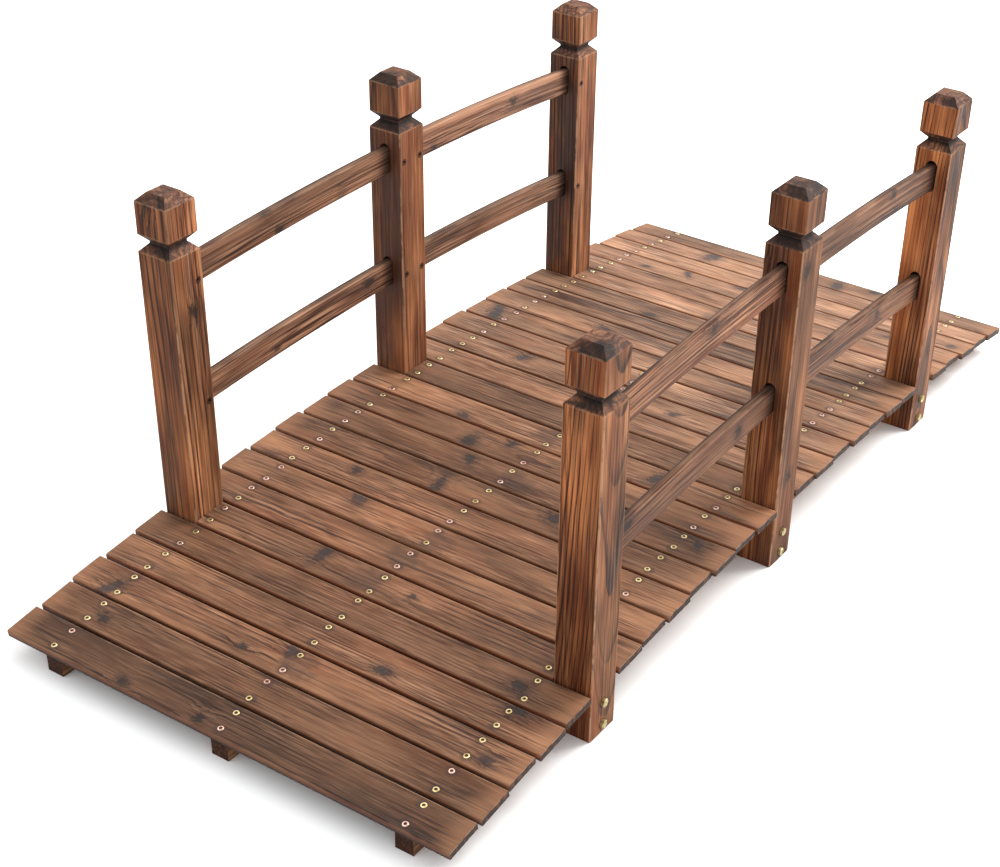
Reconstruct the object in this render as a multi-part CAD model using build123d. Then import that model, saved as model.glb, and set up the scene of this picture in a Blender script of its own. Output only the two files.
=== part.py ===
from build123d import *
from math import cos, degrees, sin, sqrt
import os

# Small arched wooden footbridge for a garden. Sizes are in millimetres.
# X runs along the bridge, Y across it and Z up. The origin is on the ground, in the middle.

# Deck boards, laid across the stringers one by one along the arch.
board_count = 27
board_length = 673.0
board_width = 51.0
board_thickness = 10.0
board_gap = 4.6
board_edge_radius = 2.5  # rounded long edges of the upper face
board_under_radius = 0.8  # eased long edges of the lower face
board_post_gap = 1.0  # between a board and a post beside it
board_shifts = (0.0, 1.5, -1.0, 2.0, -2.0, 0.5, -1.5)  # ends are laid slightly out of line

# Stringers: three planks on edge, sawn to the arch on top and flat underneath.
arch_radius = 5000.0  # radius of the stringers' sawn top edge
stringer_end_height = 30.0
stringer_thickness = 26.0
stringer_set_back = 6.0  # from the deck's end to the stringers' ends
stringer_arris = 1.0  # softened corners of the sawn ends

# Posts: square timber bolted to the outer faces of the outer stringers.
post_boards = (6, 14, 22)  # boards, counted from one end, whose ends give way to the posts
post_names = ("near", "mid", "far")
post_width = 53.0
post_set_back = 2.5  # from the boards' ends to the posts' outer faces
post_arris = 1.6  # rounded upright corners
shoulder_height = 367.0  # above the deck, where the upright ends and the neck begins
neck_depth = 10.8  # how far the V groove is sawn into each side
neck_flat = 2.5  # narrow flat at the root of the groove
cube_height = 42.0  # upright faces of the capping cube
cube_set_in = 0.8  # the cube's faces lie this far inside the shaft's
cap_inset = 11.5  # bevel round the top, measured inwards
cap_rise = 11.0  # and measured upwards

# Rails: flat bars sawn to the same arch, with their ends housed in the posts.
rail_names = ("lower", "upper")
rail_heights = (156.0, 325.0)  # middle of each rail above the deck, square to the arch
rail_depth = 38.0
rail_thickness = 12.0
rail_edge_chamfer = 1.6  # eased long edges
tenon_length = 18.0  # how far a rail end goes into a post
tenon_end_gap = 1.5  # left behind the end of a rail

# Mortises: slots with round ends, wider and taller than the rail that they take.
mortise_side_gap = 2.2  # on each side of the rail
mortise_seat_gap = 0.3  # under the rail's lower corners
mortise_headroom = 3.3  # over the rail's upper corners

# Screws through the inner cheek of a post into each rail end.
cheek_hole_diameter = 4.6

# Bolts through each post into its stringer, two to a post and level from post to post.
bolt_foot = 12.5  # lower bolt above the ground
bolt_below_top = 20.5  # upper bolt below the stringer's top edge at the end posts
bolt_hole_diameter = 6.4

# Worked-out sizes.
deck_radius = arch_radius + board_thickness
board_pitch = board_width + board_gap
middle_board = (board_count + 1) // 2
half_post = post_width / 2
half_cube = half_post - cube_set_in
outer_face = board_length / 2 - post_set_back - post_width  # posts stand against this
post_centre = outer_face + half_post
stringer_spacing = outer_face - stringer_thickness / 2
short_board_length = 2 * (outer_face - board_post_gap)
end_angle = (board_count - middle_board) * board_pitch / arch_radius
deck_end = arch_radius * sin(end_angle) + board_width / 2 * cos(end_angle)
stringer_half_length = deck_end - stringer_set_back
arch_rise = arch_radius - sqrt(arch_radius**2 - stringer_half_length**2)
crown_height = stringer_end_height + arch_rise


def arch_z(radius, x):
    """Height of an arc that shares the stringers' arch centre."""
    return crown_height - arch_radius + sqrt(radius**2 - x**2)


def board_angle(number):
    """Angle, in radians, round the arch centre from mid span to a board's middle."""
    return (number - middle_board) * board_pitch / arch_radius


def post_x(number):
    """Where the post that replaces a board's ends stands along the bridge."""
    return arch_radius * sin(board_angle(number))


def rail_radius(height):
    """Radius of a rail's middle line."""
    return deck_radius + height


def make_stringer(y):
    half, end_height = stringer_half_length, stringer_end_height
    feet = Polyline((-half, end_height), (-half, 0), (half, 0), (half, end_height))
    arch = ThreePointArc((half, end_height), (0, crown_height), (-half, end_height))
    side = make_face(Plane.XZ * (feet + arch))
    plank = extrude(side, stringer_thickness / 2, both=True)
    plank = fillet(plank.edges().filter_by(Axis.Z), stringer_arris)
    return Pos(0, y, 0) * plank


def bolt_holes(number, length):
    """Rods along Y for the bolts at one pair of posts."""
    end_post_top = arch_z(arch_radius, post_x(post_boards[0]))
    holes = Part()
    for height in (bolt_foot, end_post_top - bolt_below_top):
        rod = Rot(X=90) * Cylinder(bolt_hole_diameter / 2, length)
        holes += Pos(post_x(number), 0, height) * rod
    return holes


def post_clearance(number):
    """What a full board keeps clear of a pair of posts. It notches a board only beside wide posts."""
    width = post_width + 2 * board_post_gap
    clear = Part()
    for side in (-1, 1):
        y = side * (outer_face - board_post_gap + width / 2)
        clear += Pos(post_x(number), y, crown_height) * Box(width, width, 2 * crown_height)
    return clear


def make_board(number):
    short = number in post_boards
    length = short_board_length if short else board_length
    board = Box(board_width, length, board_thickness, align=(Align.CENTER, Align.CENTER, Align.MIN))
    upper_edges = board.edges().filter_by(Axis.Y).group_by(Axis.Z)[-1]
    board = fillet(upper_edges, board_edge_radius)
    under_edges = board.edges().filter_by(Axis.Y).group_by(Axis.Z)[0]
    board = fillet(under_edges, board_under_radius)
    shift = 0.0 if short else board_shifts[number % len(board_shifts)]
    angle = board_angle(number)
    x = arch_radius * sin(angle)
    z = crown_height - arch_radius * (1 - cos(angle))
    board = Pos(x, shift, z) * Rot(Y=degrees(angle)) * board
    beside = [post for post in post_boards if abs(post - number) == 1]
    for post in beside:
        board -= post_clearance(post)
    return board


def post_outline(deck_z):
    """Half outline of a post, seen from any side, from the foot to the top."""
    shoulder = deck_z + shoulder_height
    root = shoulder + neck_depth
    cube = root + neck_flat + neck_depth - cube_set_in
    top = cube + cube_height
    neck = half_post - neck_depth
    return [
        (half_post, 0),
        (half_post, shoulder),
        (neck, root),
        (neck, root + neck_flat),
        (half_cube, cube),
        (half_cube, top),
        (half_cube - cap_inset, top + cap_rise),
    ]


def round_rise(radius, across):
    """How far a round slot end has fallen away at a distance from its middle."""
    return radius - sqrt(radius**2 - across**2)


def make_mortise(x, side, height):
    """Slot in a post's side face: side is -1 or +1 for the face that looks along X."""
    radius = rail_radius(height)
    face = x + side * half_post
    bottom_of_tenon = face - side * tenon_length
    low = min(arch_z(radius - rail_depth / 2, end) for end in (face, bottom_of_tenon))
    high = max(arch_z(radius + rail_depth / 2, end) for end in (face, bottom_of_tenon))
    slot_width = rail_thickness + 2 * mortise_side_gap
    slot_radius = slot_width / 2
    round_end = max(
        round_rise(slot_radius, rail_thickness / 2 - rail_edge_chamfer),
        round_rise(slot_radius, rail_thickness / 2) - rail_edge_chamfer,
    )
    low -= mortise_seat_gap + round_end
    high += mortise_headroom + round_end
    mouth = Plane(origin=(face, 0, (low + high) / 2), x_dir=(0, 0, 1), z_dir=(side, 0, 0))
    slot = mouth * SlotOverall(high - low, slot_width)
    return extrude(slot, -(tenon_length + tenon_end_gap))


def cheek_hole(x, side, height, inward):
    """Screw hole from a post's inner face to the middle of a rail end."""
    hole_x = x + side * (half_post - tenon_length / 2)
    rod = Rot(X=90) * Cylinder(cheek_hole_diameter / 2, post_width)
    return Pos(hole_x, inward * half_post, arch_z(rail_radius(height), hole_x)) * rod


def make_post(index, y_side):
    number = post_boards[index]
    x = post_x(number)
    half = post_outline(arch_z(deck_radius, x))
    whole = half + [(-across, up) for across, up in reversed(half)]
    profile = Polyline(*whole, close=True)
    from_side = extrude(make_face(Plane.XZ * profile), post_width, both=True)
    from_end = extrude(make_face(Plane.YZ * profile), post_width, both=True)
    neck_height, top = half[2][1], half[-1][1]
    shaft = extrude(RectangleRounded(post_width, post_width, post_arris), neck_height)
    cube = extrude(RectangleRounded(2 * half_cube, 2 * half_cube, post_arris), top - neck_height)
    post = (shaft + Pos(0, 0, neck_height) * cube) & from_side & from_end
    post = Pos(x, 0, 0) * post
    housed_sides = [-1] * (index > 0) + [1] * (index < len(post_boards) - 1)
    for side in housed_sides:
        for height in rail_heights:
            post -= make_mortise(x, side, height)
            post -= cheek_hole(x, side, height, -y_side)
    post -= bolt_holes(number, 2 * post_width)
    return Pos(0, y_side * post_centre, 0) * post


def make_rail(first, last, height, y_side):
    """Curved bar between two posts, seated in their mortises."""
    start = post_x(first) + half_post - tenon_length
    end = post_x(last) - half_post + tenon_length
    middle = (start + end) / 2
    outer = rail_radius(height) + rail_depth / 2
    inner = rail_radius(height) - rail_depth / 2
    top_left, top_right = (start, arch_z(outer, start)), (end, arch_z(outer, end))
    low_left, low_right = (start, arch_z(inner, start)), (end, arch_z(inner, end))
    outline = ThreePointArc(top_left, (middle, arch_z(outer, middle)), top_right)
    outline += Line(top_right, low_right)
    outline += ThreePointArc(low_right, (middle, arch_z(inner, middle)), low_left)
    outline += Line(low_left, top_left)
    side_face = make_face(Plane.XZ * outline)
    rail = extrude(side_face, rail_thickness / 2, both=True)
    rail = chamfer(rail.edges().filter_by(GeomType.CIRCLE), rail_edge_chamfer)
    return Pos(0, y_side * post_centre, 0) * rail


def make_outer_stringer(y_side):
    plank = make_stringer(y_side * stringer_spacing)
    for number in post_boards:
        plank -= bolt_holes(number, 2 * (outer_face + stringer_thickness))
    return plank


pieces = {
    "stringer_left": make_outer_stringer(1),
    "stringer_middle": make_stringer(0),
    "stringer_right": make_outer_stringer(-1),
}
for number in range(1, board_count + 1):
    pieces[f"deck_board_{number:02d}"] = make_board(number)
for y_side, side_name in ((1, "left"), (-1, "right")):
    for index, post_name in enumerate(post_names):
        pieces[f"post_{post_name}_{side_name}"] = make_post(index, y_side)
    for bay, bay_name in enumerate(("near", "far")):
        first, last = post_boards[bay], post_boards[bay + 1]
        for rail_name, height in zip(rail_names, rail_heights):
            name = f"rail_{rail_name}_{bay_name}_{side_name}"
            pieces[name] = make_rail(first, last, height, y_side)

os.makedirs("parts", exist_ok=True)
for name, piece in pieces.items():
    export_step(piece, f"parts/{name}.step")
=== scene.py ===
import bmesh
import bpy
import math
import random
from mathutils import Matrix, Vector


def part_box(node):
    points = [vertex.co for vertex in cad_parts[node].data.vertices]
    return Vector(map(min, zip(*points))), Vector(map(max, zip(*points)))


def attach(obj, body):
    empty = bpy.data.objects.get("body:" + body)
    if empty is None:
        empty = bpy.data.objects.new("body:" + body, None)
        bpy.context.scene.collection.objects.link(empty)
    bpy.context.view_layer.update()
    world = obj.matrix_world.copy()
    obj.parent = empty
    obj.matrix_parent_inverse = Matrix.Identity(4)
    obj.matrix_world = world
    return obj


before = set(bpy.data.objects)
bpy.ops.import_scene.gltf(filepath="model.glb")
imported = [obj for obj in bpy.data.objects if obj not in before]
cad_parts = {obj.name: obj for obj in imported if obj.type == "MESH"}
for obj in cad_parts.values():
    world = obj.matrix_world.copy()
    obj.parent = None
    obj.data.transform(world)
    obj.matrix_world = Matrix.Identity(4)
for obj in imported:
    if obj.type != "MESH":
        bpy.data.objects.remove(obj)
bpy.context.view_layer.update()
print("frame loaded, nodes:", len(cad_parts))

# what the pieces need to know about the bridge, all worked out from the boxes of its nodes
def middleOf(node):
    low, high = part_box(node)
    return (low + high) / 2


lastBoard = 13  # counted from the board at mid span
midBoardLow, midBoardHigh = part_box("deck_board_14")
endBoard = middleOf("deck_board_27")
drop = middleOf("deck_board_14").z - endBoard.z
boardRadius = (endBoard.x**2 + drop**2) / (2 * drop)  # arch radius at half a board's thickness
boardThickness = midBoardHigh.z - midBoardLow.z
archCentre = midBoardLow.z + boardThickness / 2 - boardRadius  # its height, far below the ground
deckRadius = boardRadius + boardThickness / 2
boardStep = math.asin(endBoard.x / boardRadius) / lastBoard  # angle from one board to the next
boardWidth = midBoardHigh.x - midBoardLow.x
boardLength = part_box("deck_board_12")[1].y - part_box("deck_board_12")[0].y

postLow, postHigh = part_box("post_mid_right")
postWidth = postHigh.x - postLow.x
postLine = -(postLow.y + postHigh.y) / 2  # from the middle of the deck to the posts' middles
postStep = middleOf("post_far_right").x
postDrop = postHigh.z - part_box("post_far_right")[1].z  # the end posts are this much lower

stringerLow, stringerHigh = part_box("stringer_left")
stringerLine = (stringerLow.y + stringerHigh.y) / 2
stringerThickness = stringerHigh.y - stringerLow.y


def railBand(node):  # inner and outer radius of a rail, from its box
    low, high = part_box(node)
    outer = math.hypot(low.x, high.z - archCentre)
    inner = math.hypot(high.x, low.z - archCentre)
    return inner, outer


lowerRail = railBand("rail_lower_far_left")
upperRail = railBand("rail_upper_far_left")
lowerMiddle, upperMiddle = sum(lowerRail) / 2, sum(upperRail) / 2
railDepth = upperRail[1] - upperRail[0]
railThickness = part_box("rail_upper_far_left")[1].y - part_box("rail_upper_far_left")[0].y
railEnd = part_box("rail_lower_far_left")[0].x  # from a post's middle, inside its mortise
cheekHole = (railEnd + postWidth / 2) / 2  # halfway along the housed end


cameraLook = {
    "place": (-1.8821, -1.1921, 1.4083),
    "heading": 32.684,  # degrees from the bridge's long axis
    "tilt": -33.915,  # degrees from the horizon
    "roll": 1.864,
    "lens": 66.02,
    "sensor": 36,
    "farthest": 50,
    "shift": (-0.0623, 0.0985),
}


def makeCamera(look):
    heading, tilt, roll = (math.radians(look[key]) for key in ("heading", "tilt", "roll"))
    ahead = Vector((math.cos(tilt) * math.cos(heading), math.cos(tilt) * math.sin(heading), math.sin(tilt)))
    right = ahead.cross(Vector((0, 0, 1))).normalized()
    up = right.cross(ahead)
    rightRolled = math.cos(roll) * right + math.sin(roll) * up
    upRolled = math.cos(roll) * up - math.sin(roll) * right
    data = bpy.data.cameras.new("camera")
    data.sensor_width = look["sensor"]
    data.lens = look["lens"]
    data.shift_x, data.shift_y = look["shift"]
    data.clip_end = look["farthest"]
    camera = bpy.data.objects.new("camera", data)
    bpy.context.scene.collection.objects.link(camera)
    turn = Matrix((rightRolled, upRolled, -ahead)).transposed().to_4x4()
    camera.matrix_world = Matrix.Translation(look["place"]) @ turn
    bpy.context.scene.camera = camera


studioLook = {
    "sky": 1.3,
    "aim": (0, 0, 0.15),  # what the lamps point at
    "lamps": {
        "key": {"place": (1.9, -1.2, 2.3), "size": 1.8, "watts": 125, "tint": (1.0, 0.97, 0.93)},
        "top": {"place": (0.0, 0.3, 3.0), "size": 2.6, "watts": 20, "tint": (1.0, 1.0, 1.0)},
    },
    "floor": {"size": 14, "height": -0.0004, "tone": (0.9, 0.905, 0.91, 1), "rough": 0.9, "gloss": 0.1},
}


def makeSky(strength):
    world = bpy.data.worlds.new("studio")
    bpy.context.scene.world = world
    world.use_nodes = True
    sky = world.node_tree.nodes["Background"]
    sky.inputs["Color"].default_value = (1, 1, 1, 1)
    sky.inputs["Strength"].default_value = strength


def makeLamp(name, look, aim):
    data = bpy.data.lights.new(name, "AREA")
    data.shape = "DISK"
    data.size = look["size"]
    data.energy = look["watts"]
    data.color = look["tint"]
    lamp = bpy.data.objects.new(name, data)
    bpy.context.scene.collection.objects.link(lamp)
    lamp.location = look["place"]
    lamp.rotation_mode = "QUATERNION"
    lamp.rotation_quaternion = (Vector(aim) - Vector(look["place"])).to_track_quat("-Z", "Y")


def makeFloor(look):
    bpy.ops.object.select_all(action="DESELECT")
    bpy.ops.mesh.primitive_plane_add(size=look["size"], location=(0, 0, look["height"]))
    floor = bpy.context.object
    floor.name = "floor"
    paper = bpy.data.materials.new("floorPaper")
    paper.use_nodes = True
    shader = paper.node_tree.nodes["Principled BSDF"]
    shader.inputs["Base Color"].default_value = look["tone"]
    shader.inputs["Roughness"].default_value = look["rough"]
    shader.inputs["Specular IOR Level"].default_value = look["gloss"]
    floor.data.materials.append(paper)


def makeStudio(look):
    makeSky(look["sky"])
    for name, lamp in look["lamps"].items():
        makeLamp(name, lamp, look["aim"])
    makeFloor(look["floor"])
    bpy.context.scene.view_settings.view_transform = "Standard"
    bpy.context.scene.view_settings.look = "None"


makeCamera(cameraLook)
makeStudio(studioLook)
print("camera, lights and floor ready")


# a socket that can be added, scaled and compared, as numbers are
class Wire:
    def __init__(self, tree, socket):
        self.tree, self.socket = tree, socket

    # any node: its type, its settings, what its sockets hold or are linked to, and which output
    def node(self, kind, settings=None, inputs=None, out=0):
        made = self.tree.nodes.new("ShaderNode" + kind)
        for key, value in (settings or {}).items():
            setattr(made, key, value)
        for key, value in (inputs or {}).items():
            if isinstance(value, Wire):
                self.tree.links.new(value.socket, made.inputs[key])
            else:
                made.inputs[key].default_value = value
        return Wire(self.tree, made.outputs[out]) if made.outputs else made

    def also(self, out):  # another output of the same node
        return Wire(self.tree, self.socket.node.outputs[out])

    def sum(self, operation, *others):
        return self.node("Math", {"operation": operation}, dict(enumerate((self, *others))))

    def __add__(self, other):
        return self.sum("ADD", other)

    def __radd__(self, other):
        return self.sum("ADD", other)

    def __sub__(self, other):
        return self.sum("SUBTRACT", other)

    def __rsub__(self, other):
        return self.node("Math", {"operation": "SUBTRACT"}, {0: other, 1: self})

    def __mul__(self, other):
        return self.sum("MULTIPLY", other)

    def __rmul__(self, other):
        return self.sum("MULTIPLY", other)

    def __truediv__(self, other):
        return self.sum("DIVIDE", other)

    def __pow__(self, other):
        return self.sum("POWER", other)

    def __abs__(self):
        return self.sum("ABSOLUTE")

    def fade(self, start, end):  # 0 at start, 1 at end and eased between; start may be the larger
        inputs = {"Value": self, "From Min": start, "From Max": end}
        return self.node("MapRange", {"interpolation_type": "SMOOTHSTEP"}, inputs)

    def tint(self, other, amount, blend="MIX"):  # this colour mixed towards another
        settings = {"data_type": "RGBA", "blend_type": blend}
        return self.node("Mix", settings, {"Factor": amount, 6: self, 7: other}, out=2)

    def dim(self, amount):  # this colour made darker or lighter
        return self.node("VectorMath", {"operation": "SCALE"}, {0: self, "Scale": amount})


def newMaterial(name):
    material = bpy.data.materials.new(name)
    material.use_nodes = True
    material.node_tree.nodes.clear()
    start = Wire(material.node_tree, None)
    return material, start.node("TexCoord", out="Object")


def closeMaterial(place, inputs, height=None, reach=0.0):
    if height is not None:
        inputs["Normal"] = place.node("Bump", None, {"Height": height, "Distance": reach})
    shader = place.node("BsdfPrincipled", None, inputs)
    place.node("OutputMaterial", None, {"Surface": shader})


def tone(red, green, blue):  # a colour as it is seen, turned into light
    return (*(((part / 255 + 0.055) / 1.055) ** 2.4 for part in (red, green, blue)), 1)


def between(first, second, amount):  # a colour between two others
    return amount.node("Mix", {"data_type": "RGBA"}, {"Factor": amount, 6: first, 7: second}, out=2)


def splitUp(vector):
    parts = vector.node("SeparateXYZ", None, {0: vector})
    return parts, parts.also(1), parts.also(2)


def facingAt(place):  # which way the surface looks
    return splitUp(place.node("NewGeometry", out="Normal"))


def distance(first, second):
    return (first * first + second * second) ** 0.5


def noiseAt(place, x, y, z, detail=2.0, rough=0.5):
    where = place.node("CombineXYZ", None, {0: x, 1: y, 2: z})
    inputs = {"Vector": where, "Scale": 1.0, "Detail": detail, "Roughness": rough}
    return place.node("TexNoise", None, inputs)


def chance(seed, salt):  # a number from 0 to 1 that belongs to one piece
    return seed.node("TexWhiteNoise", {"noise_dimensions": "1D"}, {"W": seed * 3.71 + salt})


def drawLuck(seed):  # four such numbers
    return [chance(seed, salt) for salt in (0.31, 5.17, 9.73, 14.9)]


# charred and brushed fir: rings, fibres, knots, scorched patches, and rubbed edges that partly are painted
# highlights
fir = {
    "late": tone(50, 25, 15),
    "ember": tone(112, 57, 28),
    "smoke": tone(46, 35, 33),
    "haze": tone(56, 40, 34),
    # pale worn wood, also used as painted highlight on edges
    "rubbedAndHighlight": tone(158, 122, 96),
    # near black char, also used as painted shade in gaps, slots, the neck's root and round the bolts
    "charAndShade": tone(20, 16, 15),
    "relief": 0.0006,
    "knotLeast": 0.0026,  # radius of the smallest knot
    "knotPull": 0.02,  # how far round a knot the rings bend
    "knotReach": {  # in radii of the knot: where each part of it begins, and where it is full
        "haze": (3.2, 0.9),
        "rim": (1.4, 0.9),
        "knot": (1.0, 0.4),
        "core": (0.5, 0.2),
    },
}


# knots are branches that cross the piece, one chance to each stretch of it; run, across and deep are
# metres inside the piece, and run is shifted from piece to piece
def firKnots(place, look, run, across, deep, lean):
    inputs = {"W": run / look["knotStep"], "Scale": 1.0}
    cell = place.node("TexVoronoi", {"voronoi_dimensions": "1D"}, inputs)
    where = cell.also("W")
    dice = place.node("SeparateColor", None, {0: cell.also("Color")})
    spin = (chance(where, 2.3) - 0.5) * look["knotTurn"]
    aside = across - (dice - 0.5) * look["knotSpread"]
    beside = aside * spin.sum("COSINE") + deep * spin.sum("SINE")
    through = deep * spin.sum("COSINE") - aside * spin.sum("SINE")
    ahead = run - where * look["knotStep"] + through * lean * 1.2
    ragged = noiseAt(place, run * 90, across * 200, deep * 200, 4.0, 0.7) - 0.5
    reach = distance(ahead * 0.6, beside) + ragged * 0.018
    size = fir["knotLeast"] + dice.also(1) * look["knotSize"]
    real = dice.also(2).fade(look["knotRare"], look["knotRare"] + 0.03)
    knots = {part: (reach / size).fade(*fades) * real for part, fades in fir["knotReach"].items()}
    knots["pull"] = (reach / fir["knotPull"]).fade(1.0, 0.0) * real
    knots["ragged"] = ragged
    return knots


# growth rings: distance from the pith, which lies beside or below the piece
def firRings(place, look, run, along, across, deep, luck, shift, pull):
    if "pith" in look:
        (pithAcross, pithDeep), slope, ringWidth = look["pith"], look["slope"], look["ringWidth"]
    else:
        pithAcross = (luck[0] - 0.5) * look["pithSpread"]
        pithDeep = 0 - (0.5 + luck[1]) * look["pithDepth"]
        slope = (luck[2] - 0.5) * look["slope"]
        ringWidth = look["ringWidth"] * (0.65 + luck[3] * 0.9)
    wander = noiseAt(place, run * 2.2, across * 6, deep * 6, 1.0) - 0.5
    ripple = noiseAt(place, run * 12, across * 40, deep * 40, 2.0) - 0.5
    rings = distance(across - pithAcross, deep - pithDeep)
    rings = rings + wander * look["wander"] + ripple * look["ripple"]
    rings = rings + along * slope + pull * 0.006
    count = rings / ringWidth + shift
    phase = count.sum("FRACT")
    bold = chance(count.sum("FLOOR"), 3.3) ** 1.8
    late = (phase.fade(0.2, 0.96) ** look["ringPower"]) * phase.fade(1.0, 0.95)
    return late * (0.2 + bold) * (look["ringShow"] * (0.5 + luck[1] * 0.8))


# along, across and deep are metres inside the piece, and seed is a number that tells pieces apart
def firGrain(place, look, along, across, deep, seed):
    luck = drawLuck(seed)
    shift = seed * 7.13
    run = along + shift
    knots = firKnots(place, look, run, across, deep, luck[2] - 0.5)
    rings = firRings(place, look, run, along, across, deep, luck, shift, knots["pull"])
    # fibres in three widths, all finer than the rings and clearer in some places than in others
    drawn = run * look["stretch"]
    clear = noiseAt(place, drawn * 5 + 11, across * 30, deep * 30, 2.0).fade(0.3, 0.7) * 1.5 + 0.25
    fine = noiseAt(place, drawn * 28, across * 620, deep * 620, 1.0)
    fibre = noiseAt(place, drawn * 9, across * 330, deep * 330, 1.0)
    streak = noiseAt(place, drawn * 4, across * 110, deep * 110, 1.0)
    shown = clear * look["fibreShow"]
    lines = rings * clear
    # broad patches
    patch = noiseAt(place, run * 6, across * 26, deep * 26, 3.0)
    warm = noiseAt(place, run * 3 + 51, across * 40, deep * 40, 2.0)
    smoky = noiseAt(place, run * 5 + 31, across * 26, deep * 26, 4.0, 0.62)
    mottle = noiseAt(place, run * 5 + 71, across * look["mottleAcross"], deep * 16, 3.0, 0.55)
    smoke = (smoky + (fibre - 0.5) * 0.15).fade(look["smokeFrom"], look["smokeFrom"] + 0.16)
    # from the bare wood up: late wood, fibres, smoke and knots
    colour = between(look["early"], look["light"], (patch * 0.6 + streak * 0.4).fade(0.38, 0.62))
    colour = colour.tint(fir["ember"], warm.fade(0.45, 0.7) * look["emberShow"])
    colour = colour.tint(fir["late"], streak.fade(0.52, 0.70) * look["streakShow"])
    colour = colour.tint(fir["late"], lines.sum("MINIMUM", 0.95))
    colour = colour.tint(fir["late"], fibre.fade(0.50, 0.66) * shown)
    colour = colour.tint(fir["rubbedAndHighlight"], fibre.fade(0.44, 0.34) * shown * 0.6)
    colour = colour.tint(fir["late"], fine.fade(0.50, 0.66) * shown)
    colour = colour.tint(fir["rubbedAndHighlight"], fine.fade(0.46, 0.32) * 0.25)
    colour = colour.tint(look["smokeTone"], smoke * look["smokeShow"])
    colour = colour.tint(fir["haze"], knots["haze"] * 0.45)
    colour = colour.tint(fir["charAndShade"], knots["rim"] * 0.6)
    colour = colour.tint(look["knotTone"], knots["knot"] * (0.5 + knots["ragged"]).sum("MINIMUM", 0.8))
    colour = colour.tint(fir["charAndShade"], knots["core"] * (0.5 + knots["ragged"] * 1.5) * 0.7)
    colour = colour.dim(1 + (mottle - 0.5) * look["mottleShow"])
    ridge = lines * 0.5 + fibre * 0.4 + fine * 0.4 - knots["knot"] * 0.2
    sheen = 0.58 - lines * 0.06 - smoke * 0.08 + fine * 0.14
    return colour, ridge, sheen


def stained(place, colour, depth, cool):  # cool above 1 takes the stain towards grey, below 1 to brown
    shade = place.node("CombineColor", None, {0: depth, 1: depth * cool, 2: depth * cool * cool})
    return colour.tint(shade, 1.0, "MULTIPLY")


def closeTimber(place, look, colour, ridge, sheen):
    inputs = {"Base Color": colour, "Roughness": sheen, "Specular IOR Level": look["gloss"]}
    closeMaterial(place, inputs, ridge, fir["relief"])


# screws, modelled further down; the deck's stain and a painted countersink shade darken round them
screwLook = {
    "spread": 0.0151,  # from the middle of a board to its two screws
    "head": 0.0040,  # radius
    "thick": 0.0022,
    "proud": 0.0007,
    "edge": 0.0004,
    "socket": 0.0026,  # radius
    "star": 0.78,  # its inner corners, in shares of that radius
    "depth": 0.0014,
    "sides": 12,
    "wobble": 0.0012,
    "brassShare": 0.62,  # the others are coppery
}

deckLook = {
    "gloss": 0.22,
    "early": tone(104, 69, 47),  # bare wood lies between this and the next
    "light": tone(140, 98, 70),
    "emberShow": 0.3,  # "Show" is how strongly a layer covers what is under it
    "stretch": 1.0,  # below 1 the fibres run longer
    "streakShow": 0.2,
    "fibreShow": 0.4,
    "knotStep": 0.12,  # each stretch of this length has one chance of a knot
    "knotSpread": 0.05,
    "knotTurn": 2.9,  # radians between which the branches run through the piece
    "knotSize": 0.004,
    "knotRare": 0.68,  # share of the stretches without a knot
    "knotTone": tone(64, 57, 58),
    "pithSpread": 0.30,
    "pithDepth": 0.05,
    "wander": 0.012,  # broad bends of the rings
    "ripple": 0.0022,  # short ones
    "slope": 0.035,  # how far the rings may lean along the piece
    "ringWidth": 0.0046,
    "ringShow": 0.9,
    "ringPower": 2.2,  # higher for a narrower dark line in each ring
    "mottleAcross": 16,
    "mottleShow": 1.9,
    "smokeFrom": 0.54,  # higher for less of it
    "smokeShow": 0.42,
    "smokeTone": tone(46, 33, 29),
    "stainSeed": 1660.163,
    "stainSpread": 0.55,
    "stainBase": 0.72,  # below 1 darkens
    "farLightSlope": 0.018,  # painted light: from board to board, lighter towards the far end
    "stainEnds": (0.29, 0.15),  # the first and the last board are this much darker
    # painted sheen: how much greyer the far boards are
    "farSheen": 0.15,
    "paleEnd": 0.035,
    "paleShow": 0.5,
    "farArrisWearAndHighlight": (0.0032, 0.0014),  # where the rubbing and painted highlight begin and where they are full
    "nearArrisWearAndHighlight": (0.0030, 0.0014),
    "farShare": 0.7,
    "nearShare": 0.3,
    "arrisShow": 0.7,
    "screwStainAndShade": (0.010, 0.004),
    "screwShow": 0.55,
    "cloud": (0.034, 0.014),
    "cloudShow": 0.42,
    "sideTone": tone(112, 62, 36),
    "sideShow": 0.8,
    "gapShade": 0.8,
    "endTone": tone(84, 50, 32),
    "endChar": 0.9,
}


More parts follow.
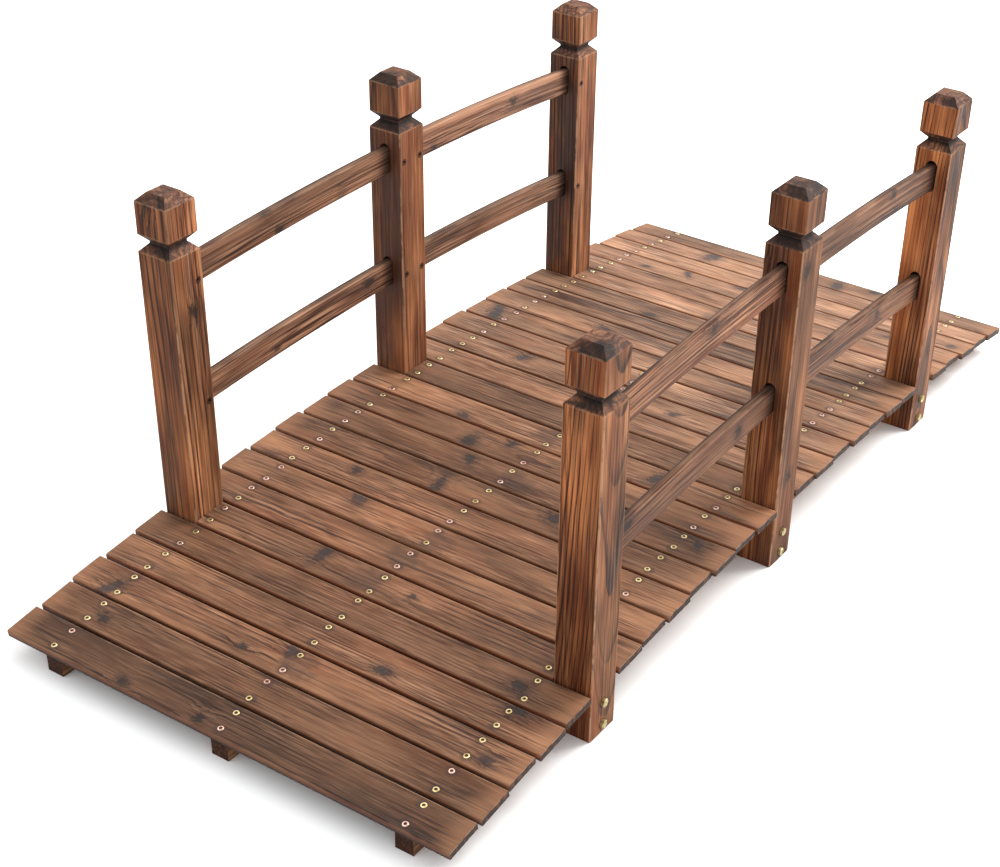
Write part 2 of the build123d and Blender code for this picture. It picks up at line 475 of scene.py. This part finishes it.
def makeDeckTimber(look):
    material, place = newMaterial("deckTimber")
    x, y, z = splitUp(place)
    up = z - archCentre
    steps = x.sum("ARCTAN2", up) / boardStep
    number = steps.sum("ROUND")
    across = (steps - number) * (boardStep * boardRadius)
    deep = distance(x, up) - deckRadius
    seed = number + 20
    luck = drawLuck(seed)
    colour, ridge, sheen = firGrain(place, look, y, across, deep, seed)
    # stain differs from board to board and is deepest at the ends; painted light makes the far boards
    # lighter and greyer
    stain = chance(seed, look["stainSeed"]) * look["stainSpread"] + look["stainBase"]
    stain = stain + number * look["farLightSlope"]
    nearEnd, farEnd = number.fade(2 - lastBoard, 1 - lastBoard), number.fade(lastBoard - 1, lastBoard)
    stain = stain * (1 - nearEnd * look["stainEnds"][0] - farEnd * look["stainEnds"][1])
    colour = stained(place, colour, stain, 1 + number.fade(-3, 4) * look["farSheen"])
    # ends are often paler
    fromEnd = boardLength / 2 - abs(y)
    frayed = fromEnd + (noiseAt(place, number * 5, across * 50, 0, 2.0) - 0.5) * 0.05
    colour = colour.tint(look["light"], frayed.fade(look["paleEnd"], 0.0) * look["paleShow"])
    # the upper edges are rubbed pale and carry a painted highlight, most of all the one towards the far end,
    # which faces the key lamp
    nearTop = deep.fade(-0.0032, -0.0012)
    rubbing = noiseAt(place, y * 26, number * 3.1, across * 60, 3.0).fade(0.36, 0.58)
    rubbedAndHighlight = across.fade(*(boardWidth / 2 - reach for reach in look["farArrisWearAndHighlight"])) * look["farShare"]
    nearRubbedAndHighlight = across.fade(*(reach - boardWidth / 2 for reach in look["nearArrisWearAndHighlight"])) * look["nearShare"]
    rubbedAndHighlight = rubbedAndHighlight + nearRubbedAndHighlight
    colour = colour.tint(fir["rubbedAndHighlight"], rubbedAndHighlight * rubbing * nearTop * look["arrisShow"])
    # a dark stain and a painted countersink shade spread round each screw, and a scorched cloud lies on the
    # middle of some boards
    row = (y / stringerLine).sum("ROUND")
    fromScrew = distance(y - row * stringerLine, abs(across) - screwLook["spread"])
    colour = colour.tint(fir["smoke"], fromScrew.fade(*look["screwStainAndShade"]) * look["screwShow"])
    fromCloud = distance(y - (luck[0] - 0.5) * 0.05, (across - (luck[1] - 0.5) * 0.03) * 1.3)
    fromCloud = fromCloud + (noiseAt(place, y * 60, across * 90, number, 3.0) - 0.5) * 0.05
    clouded = fromCloud.fade(*look["cloud"]) * luck[3].fade(0.5, 0.56)
    colour = colour.tint(fir["smoke"], clouded * look["cloudShow"])
    # long sides are a warm brown and painted darker lower down as shade in the gaps, sawn ends are half
    # charred with a pale upper edge
    facing = facingAt(place)
    side = abs(facing[0]).fade(0.55, 0.9)
    colour = colour.tint(look["sideTone"], side * luck[0].fade(-0.2, 0.8) * look["sideShow"])
    colour = colour.tint(fir["charAndShade"], side * deep.fade(-0.0030, -0.0085) * look["gapShade"])
    endFace = abs(facing[1]).fade(0.6, 0.8)
    colour = colour.tint(look["endTone"], endFace)
    char = noiseAt(place, across * 140, deep * 140, number * 7 + y.sum("SIGN"), 3.0).fade(0.36, 0.52)
    colour = colour.tint(fir["charAndShade"], endFace * char * look["endChar"])
    upperEdge = deep.fade(-0.0022, -0.0006)
    colour = colour.tint(fir["rubbedAndHighlight"], endFace * upperEdge * rubbing * look["arrisShow"])
    closeTimber(place, look, colour, ridge, sheen)
    return material


postLook = {
    "gloss": 0.15,
    "early": tone(102, 56, 32),
    "light": tone(170, 114, 75),
    "emberShow": 0.7,
    "stretch": 0.5,
    "streakShow": 0.6,
    "fibreShow": 0.36,
    "knotStep": 0.17,
    "knotSpread": 0.04,
    "knotTurn": 6.2,
    "knotSize": 0.004,
    "knotRare": 0.62,
    "knotTone": tone(50, 34, 28),
    "wander": 0.028,
    "ripple": 0.0018,
    "ringShow": 1.8,
    "mottleAcross": 20,
    "mottleShow": 2.6,
    "smokeFrom": 0.58,
    "smokeShow": 0.6,
    "smokeTone": tone(46, 28, 20),
    "capRise": 0.011,  # from the top of a post to the upper edges of its capping cube
    "cubeFoot": 0.053,  # to the cube's lower edges
    "neckRoot": 0.0643,  # to the middle of the neck's root
    "shoulder": 0.0763,
    "boltHeights": (0.0125, 0.04472),
    "endwiseShadeTint": (1.01, 0.85, 0.66, 1),  # painted shade: a warmer tone on the faces that look along the bridge
    "bevelTone": tone(84, 64, 57),
    "bevelShow": 0.45,
    "swirlShow": 0.7,
    "bevelChar": 0.8,
    "arris": (0.0022, 0.0008),  # where the wear and painted highlight of the upright corners begin and are full
    "arrisHighlightAndWear": (0.2, 0.7),  # painted highlight all along, and wear in places
    "edge": (0.0014, 0.0004),  # the edges of the cube and the shoulder
    "edgeShow": 0.3,
    "root": (0.006, 0.0018),  # how far the neck's root is charred and painted dark as shade
    "rootCharAndShade": 0.85,
    "hole": (0.0060, 0.0034),
    "holeChar": 0.85,
    "bolt": (0.0084, 0.0062),
    "boltDarkAndShade": 0.6,
    "outerFace": (0.024, 0.026),
}

# each post is sawn from another part of the log: where its pith lies and how the rings lean along it,
# then the stain, partly painted shade, on its faces that look along the bridge and across it, how much the
# face towards the near end is scorched and painted dark as shade, and how much of the bevels isn't charred
postFigures = {
    "near_right": {
        "pith": (0.004, -0.052),
        "slope": -0.06,
        "ringWidth": 0.0056,
        "ringPower": 5.0,
        "ringShow": 1.4,
        "stain": (0.71, 0.90),
        "nearScorchAndShade": 0.0,
        "char": 0.58,
    },
    "near_left": {
        "pith": (0.045, -0.050),
        "slope": -0.03,
        "ringWidth": 0.0070,
        "ringPower": 2.6,
        "ringShow": 1.6,
        "stain": (0.71, 1.02),
        "nearScorchAndShade": 0.15,
        "char": 0.66,
    },
    "mid_right": {
        "pith": (0.010, 0.100),
        "slope": 0.012,
        "ringWidth": 0.0058,
        "ringPower": 2.6,
        "stain": (0.77, 0.64),
        "nearScorchAndShade": 0.2,
        "char": 0.46,
    },
    "mid_left": {
        "pith": (-0.075, 0.004),
        "slope": 0.045,
        "ringWidth": 0.0090,
        "ringPower": 2.6,
        "ringShow": 1.6,
        "stain": (0.64, 0.88),
        "nearScorchAndShade": 0.6,
        "char": 0.48,
    },
    "far_right": {
        "pith": (-0.004, 0.090),
        "slope": 0.020,
        "ringWidth": 0.0050,
        "ringPower": 2.4,
        "stain": (1.0, 0.85),
        "nearScorchAndShade": 0.1,
        "char": 0.60,
    },
    "far_left": {
        "pith": (0.006, -0.085),
        "slope": -0.020,
        "ringWidth": 0.0064,
        "ringPower": 2.4,
        "stain": (0.75, 1.0),
        "nearScorchAndShade": 0.8,
        "char": 0.62,
    },
}


def makePostTimber(name, look):
    material, place = newMaterial("postTimber_" + name)
    x, y, z = splitUp(place)
    side = y.sum("SIGN")
    number = (x / postStep).sum("ROUND")
    across = x - number * postStep
    deep = abs(y) - postLine
    colour, ridge, sheen = firGrain(place, look, z, across, deep, number + side * 3 + 11)
    facing = facingAt(place)
    # faces along the bridge and across it get their own depth of stain, partly real and partly painted shade
    # of faces turned from the key lamp
    endwise = abs(facing[0]).fade(0.6, 0.8)
    along, sidewaysStainAndShade = look["stain"]
    colour = colour.dim(endwise * (along - sidewaysStainAndShade) + sidewaysStainAndShade)
    colour = colour.tint(look["endwiseShadeTint"], endwise, "MULTIPLY")
    # the face towards the near end is scorched more or less, unevenly, which is also painted shade on a face
    # turned from the key lamp
    towardsNear = facing[0] * -1
    cloud = noiseAt(place, across * 12, y * 26, z * 7, 3.0, 0.6).fade(0.32, 0.60)
    colour = colour.tint(fir["smoke"], towardsNear.fade(0.5, 0.8) * cloud * look["nearScorchAndShade"])
    # upright corners are rubbed pale, with a painted highlight all along them
    corner = abs(across).sum("MINIMUM", abs(deep)).fade(*(postWidth / 2 - reach for reach in look["arris"]))
    rubbing = noiseAt(place, across * 60, y * 60, z * 26, 4.0, 0.6).fade(0.42, 0.58)
    colour = colour.tint(fir["rubbedAndHighlight"], corner * (look["arrisHighlightAndWear"][0] + rubbing * look["arrisHighlightAndWear"][1]))
    # bevels of the neck and the cap show rings and are scorched in places; the neck's root is charred and
    # painted dark as shade all round
    fromTop = postHigh.z - abs(number) * postDrop - z
    bevel = abs(facing[2]).fade(0.3, 0.6) * fromTop.fade(look["shoulder"] + 0.001, look["shoulder"] - 0.003)
    patchy = noiseAt(place, x * 26, y * 26, z * 26, 4.0, 0.6) - (across + deep * side) * 2
    patchy = patchy + towardsNear.fade(0.3, 0.6) * 0.1
    colour = colour.tint(look["bevelTone"], bevel * look["bevelShow"])
    swirl = (noiseAt(place, x * 14, y * 14, z * 26, 2.0, 0.4) * 16).sum("FRACT")
    swirled = bevel * swirl.fade(0.35, 0.95) * swirl.fade(1.0, 0.95)
    colour = colour.tint(fir["late"], swirled * look["swirlShow"])
    patches = bevel * patchy.fade(look["char"] - 0.03, look["char"] + 0.1)
    colour = colour.tint(fir["charAndShade"], patches * look["bevelChar"])
    root = abs(fromTop - look["neckRoot"]).fade(*look["root"])
    colour = colour.tint(fir["charAndShade"], root * look["rootCharAndShade"])
    # scorched round the screw holes for the rails, on the inner face and beside each rail
    away = distance(x, z - archCentre)
    fromRail = abs(away - lowerMiddle).sum("MINIMUM", abs(away - upperMiddle))
    fromHole = distance(abs(across) - cheekHole, fromRail)
    housed = (across * number).sum("LESS_THAN", 0.001)
    inwards = (facing[1] * side).fade(-0.5, -0.8)
    hole = fromHole.fade(*look["hole"]) * housed * inwards
    colour = colour.tint(fir["charAndShade"], hole * look["holeChar"])
    # dark round the bolt heads: wood pressed in, and painted shade of the heads
    low, high = look["boltHeights"]
    fromBolt = distance(across, abs(z - (low + high) / 2) - (high - low) / 2)
    bolted = fromBolt.fade(*look["bolt"]) * deep.fade(*look["outerFace"])
    colour = colour.tint(fir["charAndShade"], bolted * look["boltDarkAndShade"])
    # the edges of the capping cube and the shoulder are worn
    edges = [abs(fromTop - look[level]).fade(*look["edge"]) for level in ("capRise", "cubeFoot", "shoulder")]
    worn = edges[0].sum("MAXIMUM", edges[1]).sum("MAXIMUM", edges[2])
    colour = colour.tint(fir["rubbedAndHighlight"], worn * rubbing * look["edgeShow"])
    closeTimber(place, look, colour, ridge, sheen)
    return material


railLook = {
    "gloss": 0.2,
    "early": tone(88, 57, 42),
    "light": tone(146, 104, 78),
    "emberShow": 0.3,
    "stretch": 0.45,
    "streakShow": 0.1,
    "fibreShow": 0.7,
    "knotStep": 0.14,
    "knotSpread": 0.03,
    "knotTurn": 2.6,
    "knotSize": 0.003,
    "knotRare": 0.5,
    "knotTone": tone(58, 44, 40),
    "pithSpread": 0.12,
    "pithDepth": 0.04,
    "wander": 0.014,
    "ripple": 0.0014,
    "slope": 0.03,
    "ringWidth": 0.0031,
    "ringShow": 0.65,
    "ringPower": 2.4,
    "mottleAcross": 30,
    "mottleShow": 1.0,
    "stainSeed": 395.323,
    "stainSpread": -0.74,  # by chance, so that each rail has between 0.63 and 1.37
    "stainBase": 1.37,
    "smokeFrom": 0.55,
    "smokeShow": 0.55,
    "smokeTone": tone(48, 34, 29),
    "cool": 0.975,  # how grey the stain is, below 1 for brown
    "coolBySide": 0.07,  # more of it on the left
    "coolByBay": 0.035,  # and there in the far bay
    # a pale band of wear and painted highlight along the upper part of each side
    "wearAndHighlightFrom": (0.4, 0.46),  # in shares of the depth of a rail, from its middle
    "wearAndHighlightShow": 0.3,
    "topShade": 0.3,
    "underArris": (0.003, 0.001),
    "underShade": 0.4,
    "backDarkening": 0.7,
    "housedFrom": 0.026,  # this far outside a post the painted shade of its slot begins on a rail
    "housedShade": 0.7,
}


def makeRailTimber(look):
    material, place = newMaterial("railTimber")
    x, y, z = splitUp(place)
    up = z - archCentre
    away = distance(x, up)
    level = away.sum("GREATER_THAN", (lowerRail[1] + upperRail[0]) / 2)
    across = away - lowerMiddle - level * (upperRail[0] - lowerRail[0])
    along = x.sum("ARCTAN2", up) * upperRail[0]
    side, bay = y.sum("SIGN"), x.sum("SIGN")
    deep = (abs(y) - postLine) * side
    seed = bay * 2 + level * 5 + side * 9 + 31
    colour, ridge, sheen = firGrain(place, look, along, across, deep, seed)
    # each rail has its own depth of stain, and the right rails are the warmest brown
    stain = chance(seed, look["stainSeed"]) * look["stainSpread"] + look["stainBase"]
    cool = look["cool"] + side * look["coolBySide"] + (side + 1) * bay * (look["coolByBay"] / 2)
    colour = stained(place, colour, stain, cool)
    # the upper part of each side is rubbed and carries a painted highlight, the upper face is painted darker
    # against the light from above, and the lower arris is painted dark as shade
    rubbing = noiseAt(place, x * 24, y * 60, z * 24, 3.0).fade(0.35, 0.65)
    rubbedAndHighlight = across.fade(*(railDepth * share for share in look["wearAndHighlightFrom"]))
    colour = colour.tint(fir["rubbedAndHighlight"], rubbedAndHighlight * (rubbing * look["wearAndHighlightShow"]))
    facing = facingAt(place)
    # painted shade: the upper face is darkened against the light it gets from above
    colour = colour.dim(1 - facing[2].fade(0.6, 0.9) * look["topShade"])
    # painted shade along the lower arris, which turns away from the light
    under = (0 - across).fade(*(railDepth / 2 - reach for reach in look["underArris"]))
    colour = colour.tint(fir["haze"], under * look["underShade"])
    # the back of the upper face, towards the left, is darker
    back = deep.fade(0, railThickness / 2 - 0.002) * facing[2].fade(0.1, 0.3)
    colour = colour.tint(fir["charAndShade"], back * look["backDarkening"])
    # painted shade where a rail goes into the slot of a post
    fromPost = abs(x / postStep).sum("PINGPONG", 0.5) * postStep - postWidth / 2
    colour = colour.tint(fir["charAndShade"], fromPost.fade(look["housedFrom"], 0.0) * look["housedShade"])
    closeTimber(place, look, colour, ridge, sheen)
    return material


stringerLook = dict(
    deckLook,
    gloss=0.1,
    knotStep=0.2,
    pithSpread=0.2,
    ringShow=0.8,
    smokeFrom=0.5,
    endTone=tone(37, 15, 5),
    endChar=0.95,
    grainHeight=0.03,  # of the line from which the grain is laid out
)


def makeStringerTimber(look):
    material, place = newMaterial("stringerTimber")
    x, y, z = splitUp(place)
    row = (y / stringerLine).sum("ROUND")
    up, deep = z - look["grainHeight"], y - row * stringerLine
    colour, ridge, sheen = firGrain(place, look, x, up, deep, row + 47)
    # sawn ends are charred, with flecks
    endFace = abs(facingAt(place)[0]).fade(0.6, 0.8)
    fleck = noiseAt(place, y * 300, z * 300, x * 9, 3.0).fade(0.45, 0.75)
    colour = colour.tint(look["endTone"], endFace * (1 - fleck * 0.3) * look["endChar"])
    closeTimber(place, look, colour, ridge, sheen)
    return material


timber = {
    "deck_board": makeDeckTimber(deckLook),
    "rail": makeRailTimber(railLook),
    "stringer": makeStringerTimber(stringerLook),
}
for name, figure in postFigures.items():
    timber["post_" + name] = makePostTimber(name, dict(postLook, **figure))
for node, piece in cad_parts.items():
    piece.data.materials.clear()
    for start, material in timber.items():
        if node.startswith(start):
            piece.data.materials.append(material)
print("timber finished")


# plated steel, and the near-black colour in the screws' sockets, a painted shade of the recess
platingLook = {
    "brass": {"bright": tone(226, 206, 154), "dull": tone(176, 148, 98), "rough": 0.3},
    "copper": {"bright": tone(228, 192, 176), "dull": tone(172, 126, 108), "rough": 0.3},
    "zinc": {"bright": tone(190, 178, 132), "dull": tone(138, 124, 82), "rough": 0.32},
}
platingMetal = 0.85
platingRelief = 0.0001
socketShadeLook = {"dark": tone(12, 8, 6), "light": tone(30, 20, 15), "rough": 0.7}


def makePlating(name, look):
    material, place = newMaterial(name + "Plating")
    x, y, z = splitUp(place)
    cloud = noiseAt(place, x * 160, y * 160, z * 160, 3.0)
    colour = between(look["bright"], look["dull"], cloud.fade(0.4, 0.65))
    sheen = look["rough"] + cloud * 0.2
    inputs = {"Base Color": colour, "Roughness": sheen, "Metallic": platingMetal}
    closeMaterial(place, inputs, cloud, platingRelief)
    return material


# painted shade: the socket's recess gets a near-black colour
def makeSocketPaintedShade(look):
    material, place = newMaterial("socketPaintedShade")
    x, y, z = splitUp(place)
    cloud = noiseAt(place, x * 900, y * 900, z * 900, 2.0)
    colour = between(look["dark"], look["light"], cloud.fade(0.4, 0.6))
    closeMaterial(place, {"Base Color": colour, "Roughness": look["rough"] + cloud * 0.2})
    return material


plating = {name: makePlating(name, look) for name, look in platingLook.items()}
socketShadeMaterial = makeSocketPaintedShade(socketShadeLook)


def startRound(name, sides, radius, thick, middle=0):  # a cylinder or a prism, opened for editing
    bpy.ops.object.select_all(action="DESELECT")
    place = (0, 0, middle)
    bpy.ops.mesh.primitive_cylinder_add(vertices=sides, radius=radius, depth=thick, location=place)
    bpy.ops.object.transform_apply()
    piece = bpy.context.object
    piece.name = name
    bpy.ops.object.mode_set(mode="EDIT")
    return piece


def finishRound(piece, angle):  # edges sharper than the angle stay sharp
    bpy.ops.object.mode_set(mode="OBJECT")
    bpy.ops.object.shade_smooth_by_angle(angle=angle)
    return piece


def selectFaces(piece, wanted):
    mesh = bmesh.from_edit_mesh(piece.data)
    bpy.ops.mesh.select_mode(type="FACE")
    for face in mesh.faces:
        face.select_set(wanted(face))
    bmesh.update_edit_mesh(piece.data)


def isUpper(face):
    return face.normal.z > 0.9


def isLower(face):
    return face.normal.z < -0.9


def isUpperMiddle(face):
    return isUpper(face) and face.calc_center_median().xy.length < 0.0005


def easeEdges(width, steps):
    bpy.ops.mesh.bevel(offset=width, segments=steps, affect="EDGES")


def placeAll(piece, spots, name):  # joins copies of a fixing, one at each spot
    bpy.ops.object.select_all(action="DESELECT")
    for spot in spots:
        copy = piece.copy()
        copy.data = piece.data.copy()
        copy.data.transform(spot)
        bpy.context.scene.collection.objects.link(copy)
        copy.select_set(True)
    bpy.context.view_layer.objects.active = copy
    bpy.ops.object.join()
    joined = bpy.context.object
    joined.name = name
    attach(joined, "root")
    return joined


# screws: two to a stringer in each board
def makeScrew(look):
    screw = startRound("screw", look["sides"], look["head"], look["thick"])
    screw.data.materials.append(plating["brass"])
    screw.data.materials.append(socketShadeMaterial)
    selectFaces(screw, isUpper)
    easeEdges(look["edge"], 1)
    selectFaces(screw, isUpper)
    bpy.ops.mesh.inset(thickness=look["head"] - look["edge"] - look["socket"])
    # every other corner of the socket moves inwards, which makes a star
    bpy.ops.mesh.select_mode(type="VERT")
    mesh = bmesh.from_edit_mesh(screw.data)
    for corner in [corner for corner in mesh.verts if corner.select]:
        turn = math.atan2(corner.co.y, corner.co.x) / (2 * math.pi / look["sides"])
        corner.select_set(round(turn) % 2 == 0)
    bmesh.update_edit_mesh(screw.data)
    middle = (0, 0, look["thick"] / 2)
    bpy.ops.transform.resize(value=(look["star"], look["star"], 1), center_override=middle)
    selectFaces(screw, isUpperMiddle)
    bpy.ops.mesh.extrude_region_move(TRANSFORM_OT_translate={"value": (0, 0, -look["depth"])})
    screw.active_material_index = 1
    bpy.ops.object.material_slot_assign()
    return finishRound(screw, 0.6)


def screwSpots(look):
    lay = random.Random(5)
    away = deckRadius + look["proud"] - look["thick"] / 2
    for board in range(-lastBoard, lastBoard + 1):
        for row in (-1, 0, 1):
            for side in (-1, 1):
                aside = side * look["spread"] + lay.gauss(0, look["wobble"])
                arc = board * boardStep + aside / boardRadius
                y = row * stringerLine + lay.gauss(0, look["wobble"])
                luck = lay.random()
                turn = Matrix.Rotation(lay.uniform(0, 1), 4, "Z")
                place = (away * math.sin(arc), y, archCentre + away * math.cos(arc))
                yield luck, Matrix.Translation(place) @ Matrix.Rotation(arc, 4, "Y") @ turn


def placeScrews(look):
    screw = makeScrew(look)
    spots = list(screwSpots(look))
    gold = [spot for luck, spot in spots if luck < look["brassShare"]]
    pink = [spot for luck, spot in spots if luck >= look["brassShare"]]
    placeAll(screw, gold, "screws_brass")
    placeAll(screw, pink, "screws_copper").data.materials[0] = plating["copper"]
    bpy.data.objects.remove(screw)


placeScrews(screwLook)
print("screws placed")


# bolts: two through each post into its stringer, with a washer and a nut inside
boltLook = {
    "heights": postLook["boltHeights"],
    "across": 0.010,  # hexagon, flat to flat
    "head": 0.0040,
    "headEdge": 0.0005,
    "rim": 0.0011,  # round the shallow dish in the head
    "dish": (0.0004, 0.0003),  # its slope and its depth
    "shank": 0.0030,  # radius
    "tipEdge": 0.0004,
    "tail": 0.0035,  # thread that stands out of the nut
    "washer": (0.0062, 0.0012),  # radius and thickness
    "washerEdge": 0.0003,
    "nut": 0.0048,
    "nutEdge": 0.0005,
}


def makeBolt(look):
    grip = postWidth + stringerThickness + look["washer"][1] + look["nut"] + look["tail"]
    bolt = startRound("bolt", 6, look["across"] / math.sqrt(3), look["head"], look["head"] / 2)
    selectFaces(bolt, isUpper)
    easeEdges(look["headEdge"], 2)
    selectFaces(bolt, isUpperMiddle)
    bpy.ops.mesh.inset(thickness=look["rim"])
    bpy.ops.mesh.inset(thickness=look["dish"][0], depth=-look["dish"][1])
    selectFaces(bolt, isLower)
    bpy.ops.mesh.inset(thickness=look["across"] / 2 - look["shank"])
    bpy.ops.mesh.extrude_region_move(TRANSFORM_OT_translate={"value": (0, 0, -grip)})
    easeEdges(look["tipEdge"], 1)
    return finishRound(bolt, 0.4)


def makeRing(name, sides, radius, thick, start, edge):  # a washer or a nut, on the inner end of a bolt
    ring = startRound(name, sides, radius, thick, start - thick / 2)
    selectFaces(ring, isLower)
    easeEdges(edge, 2)
    return finishRound(ring, 0.5)


def placeBolts(look):
    inside = -(postWidth + stringerThickness)
    (washer, thick), nut = look["washer"], look["nut"]
    parts = [
        makeBolt(look),
        makeRing("washer", 20, washer, thick, inside, look["washerEdge"]),
        makeRing("nut", 6, look["across"] / math.sqrt(3), nut, inside - thick, look["nutEdge"]),
    ]
    lay = random.Random(3)
    for part in parts:
        part.data.materials.append(plating["zinc"])
        spots = []
        for number in (-1, 0, 1):
            for side in (-1, 1):
                for height in look["heights"]:
                    place = (number * postStep, side * (postLine + postWidth / 2), height)
                    outwards = Matrix.Rotation(-side * math.pi / 2, 4, "X")
                    turn = Matrix.Rotation(lay.uniform(0, 1), 4, "Z")
                    spots.append(Matrix.Translation(place) @ outwards @ turn)
        placeAll(part, spots, part.name + "s")
        bpy.data.objects.remove(part)


placeBolts(boltLook)
print("bolts placed")
